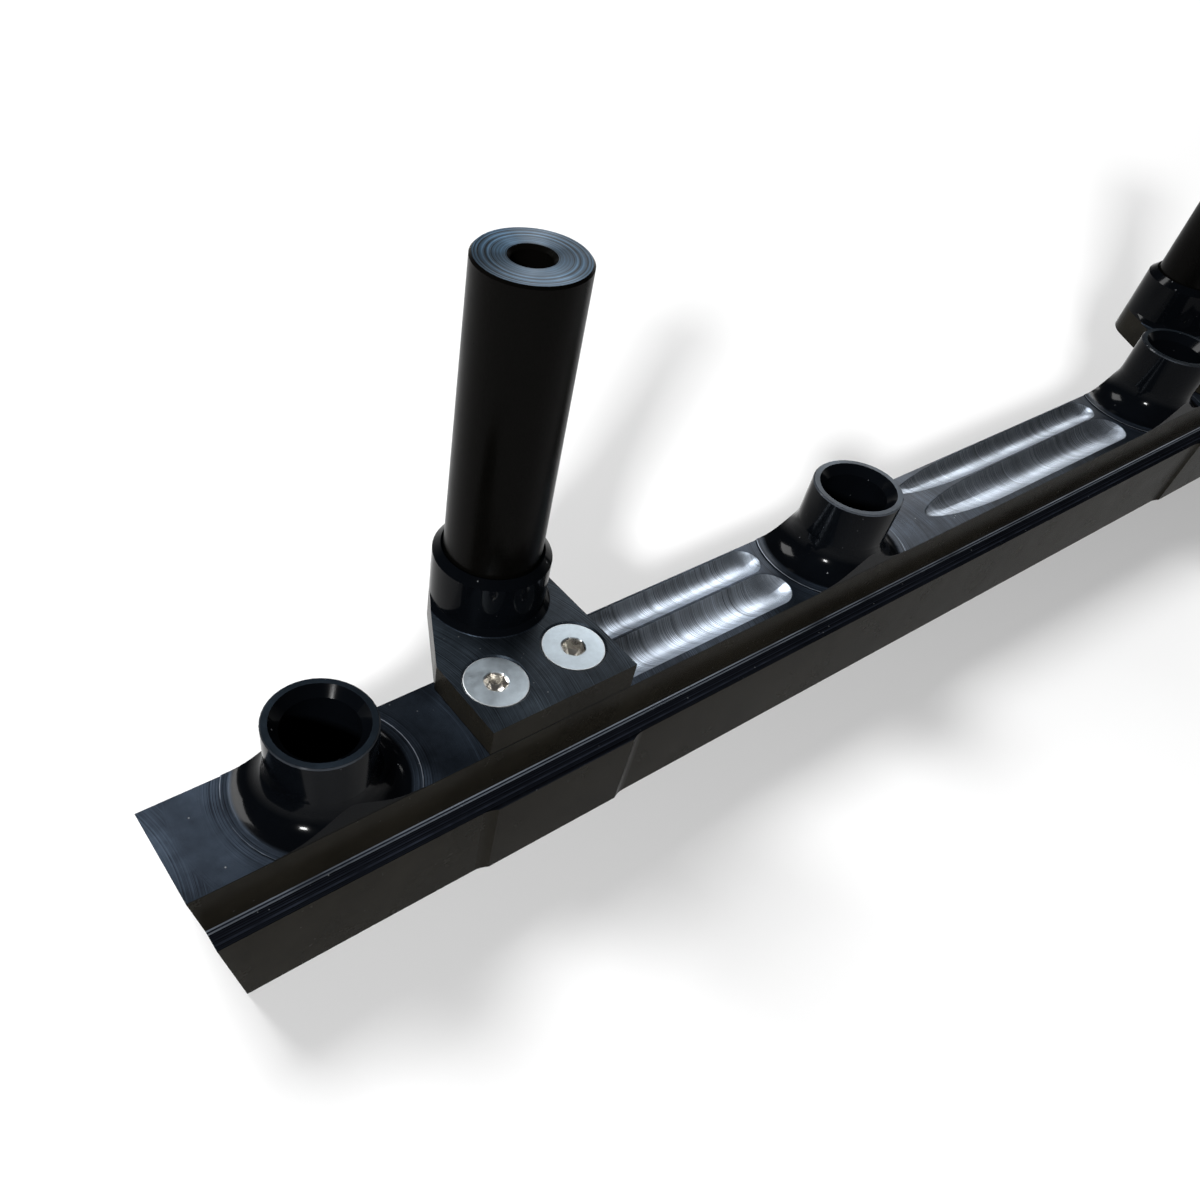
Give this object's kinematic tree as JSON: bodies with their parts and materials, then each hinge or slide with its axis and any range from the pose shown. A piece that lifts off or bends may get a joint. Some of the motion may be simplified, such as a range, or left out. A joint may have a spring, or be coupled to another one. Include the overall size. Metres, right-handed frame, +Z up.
{
  "type": "fuel rail",
  "caption": "Machined, black anodised fuel rail with injector cups in a line, fluted top, screwed feet and stand-off posts.",
  "frame": {"origin": "middle of the rail's flat bottom face, on the line of the cup axes", "axes": "+X along the rail, +Y towards the stand-off posts, +Z up out of the injector cups"},
  "size_m": [0.4526, 0.0467, 0.1035],
  "materials": {
    "anodised_black": "glossy",
    "anodised_satin": "satin",
    "stainless": "satin"
  },
  "bodies": {
    "root": {"rail_body": "anodised_black", "mount_foot_1": "anodised_black", "mount_foot_2": "anodised_black", "standoff_post_1": "anodised_satin", "standoff_post_2": "anodised_satin", "foot_screw_1": "stainless", "foot_screw_2": "stainless", "foot_screw_3": "stainless", "foot_screw_4": "stainless"}
  },
  "joints": []
}
